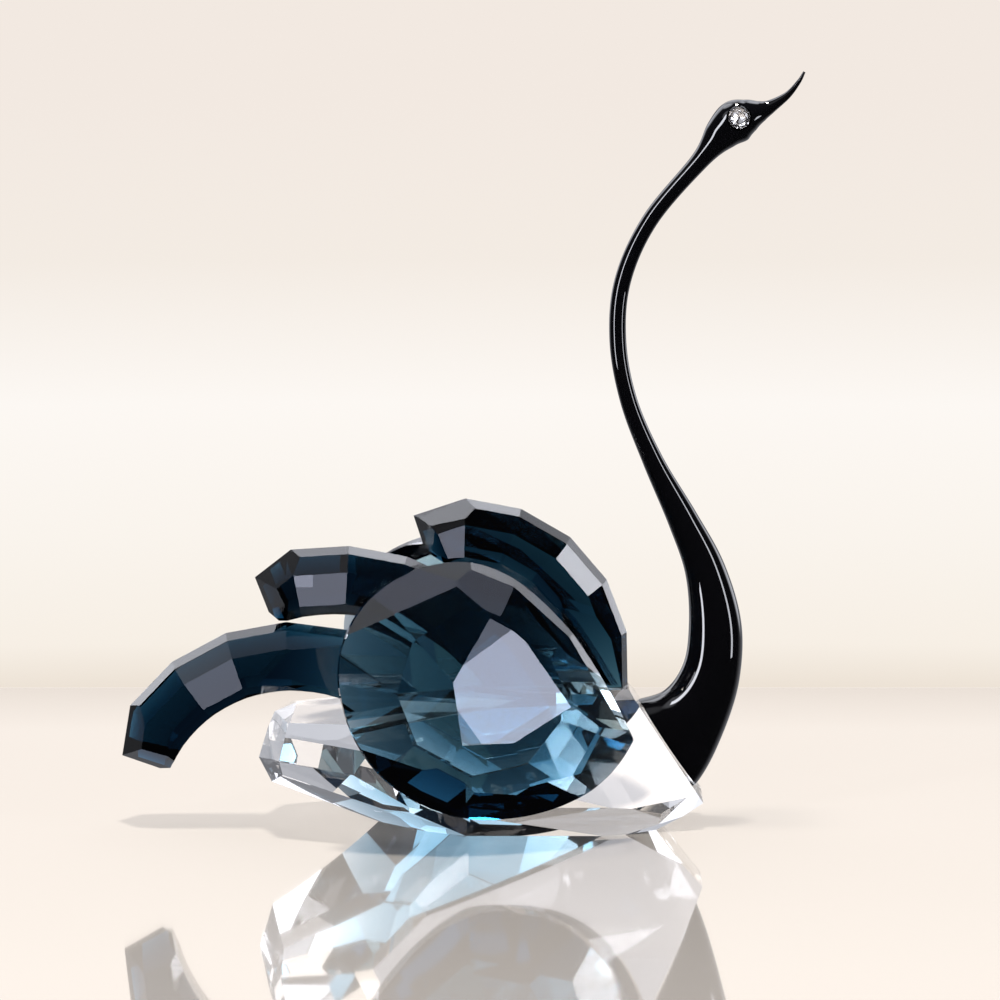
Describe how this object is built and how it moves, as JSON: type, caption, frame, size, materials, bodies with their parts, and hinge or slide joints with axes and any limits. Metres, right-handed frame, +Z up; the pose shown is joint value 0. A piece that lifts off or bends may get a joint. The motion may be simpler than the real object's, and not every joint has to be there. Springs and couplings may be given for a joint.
{
  "type": "crystal swan figurine",
  "caption": "Faceted clear crystal swan that stands on its flat underside, with smoky crystal wings and feathers and a black glass neck raised in an open curve.",
  "frame": {"origin": "centre of the body's flat underside, in the mid-plane", "axes": "+X the way the swan looks, +Y its left side, +Z up"},
  "size_m": [0.1252, 0.0552, 0.1393],
  "materials": {
    "clear_crystal": "cut and polished",
    "smoky_crystal": "cut and polished",
    "black_glass": "fire polished",
    "eye_stone": "brilliant cut"
  },
  "bodies": {
    "root": {"body": "clear_crystal", "wing_right": "smoky_crystal", "wing_left": "smoky_crystal", "feather_top": "smoky_crystal", "feather_middle": "smoky_crystal", "feather_lower": "smoky_crystal", "neck": "black_glass", "eye_right": "eye_stone", "eye_left": "eye_stone"}
  },
  "joints": []
}
